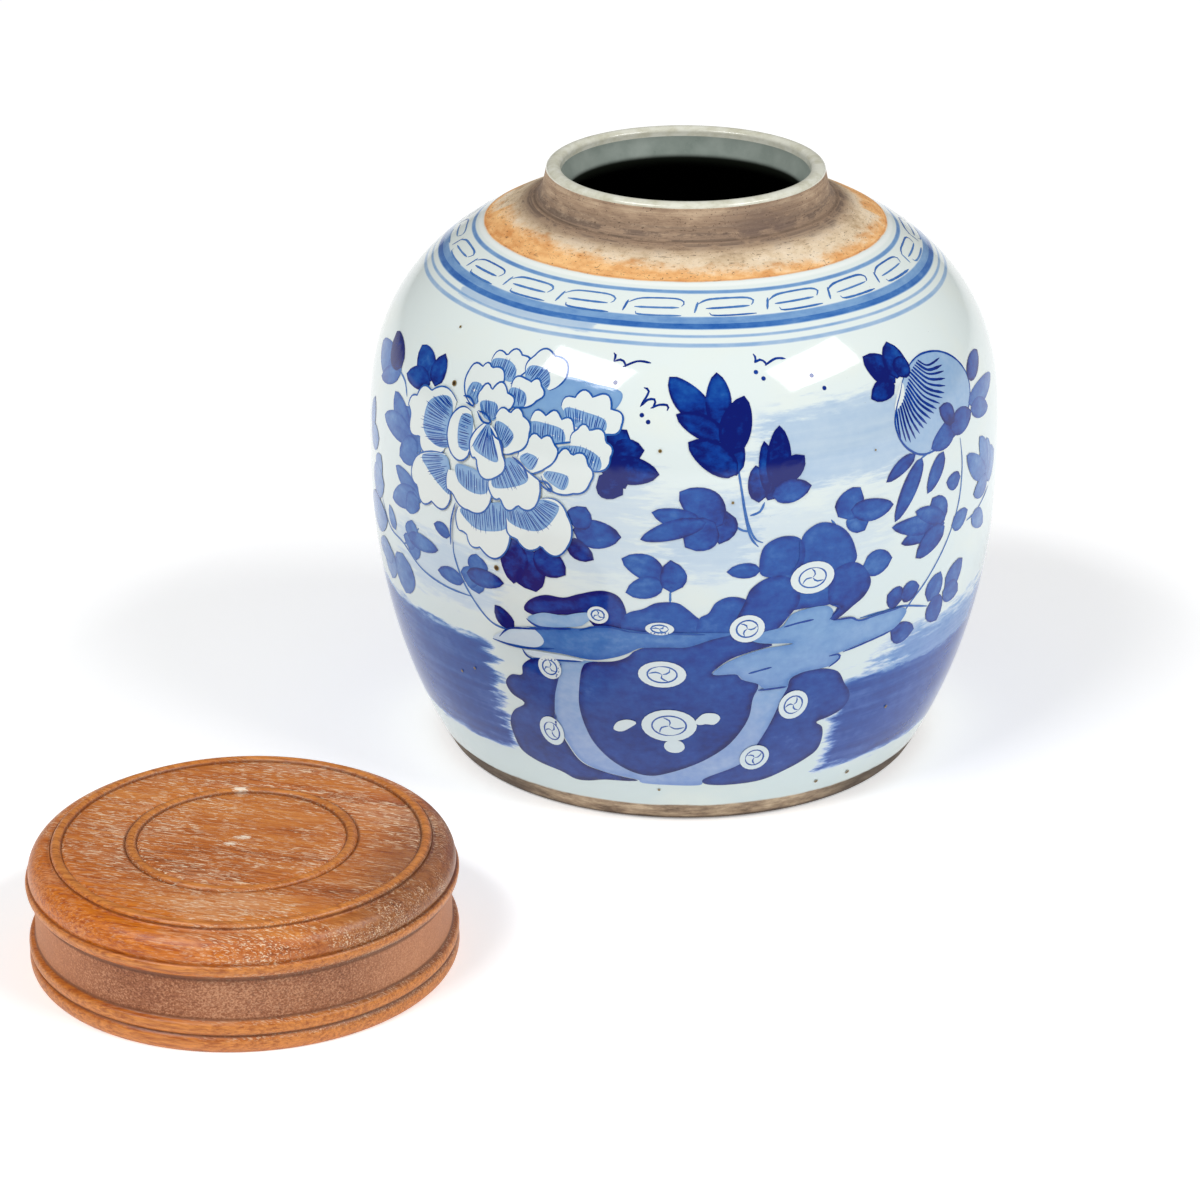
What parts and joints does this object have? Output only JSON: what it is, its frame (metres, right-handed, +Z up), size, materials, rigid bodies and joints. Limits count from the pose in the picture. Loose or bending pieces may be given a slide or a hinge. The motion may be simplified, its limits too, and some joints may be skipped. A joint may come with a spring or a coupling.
{
  "type": "ginger jar",
  "caption": "Squat round porcelain storage jar with a bare shoulder ring and short open neck, with its turned wooden cap lid resting beside it.",
  "frame": {"origin": "on the table, at the middle of the rectangle of ground that the jar and the lid beside it cover", "axes": "+Z up; -Y towards the viewer, with the lid in front of the jar and to its left (-X)"},
  "size_m": [0.2998, 0.3388, 0.197],
  "materials": {
    "porcelain": "pale blue-grey glaze painted in cobalt blue, bare clay on the shoulder and foot",
    "wood": "turned hardwood with lightly limed pores and a worn wax sheen"
  },
  "bodies": {
    "jar": {"jar_body": "porcelain"},
    "lid": {"jar_lid": "wood"}
  },
  "joints": [
    {"name": "lid_lift", "type": "slide", "parent": "jar", "child": "lid", "axis": [0, 0, 1], "range_m": [0, 0.26]}
  ]
}
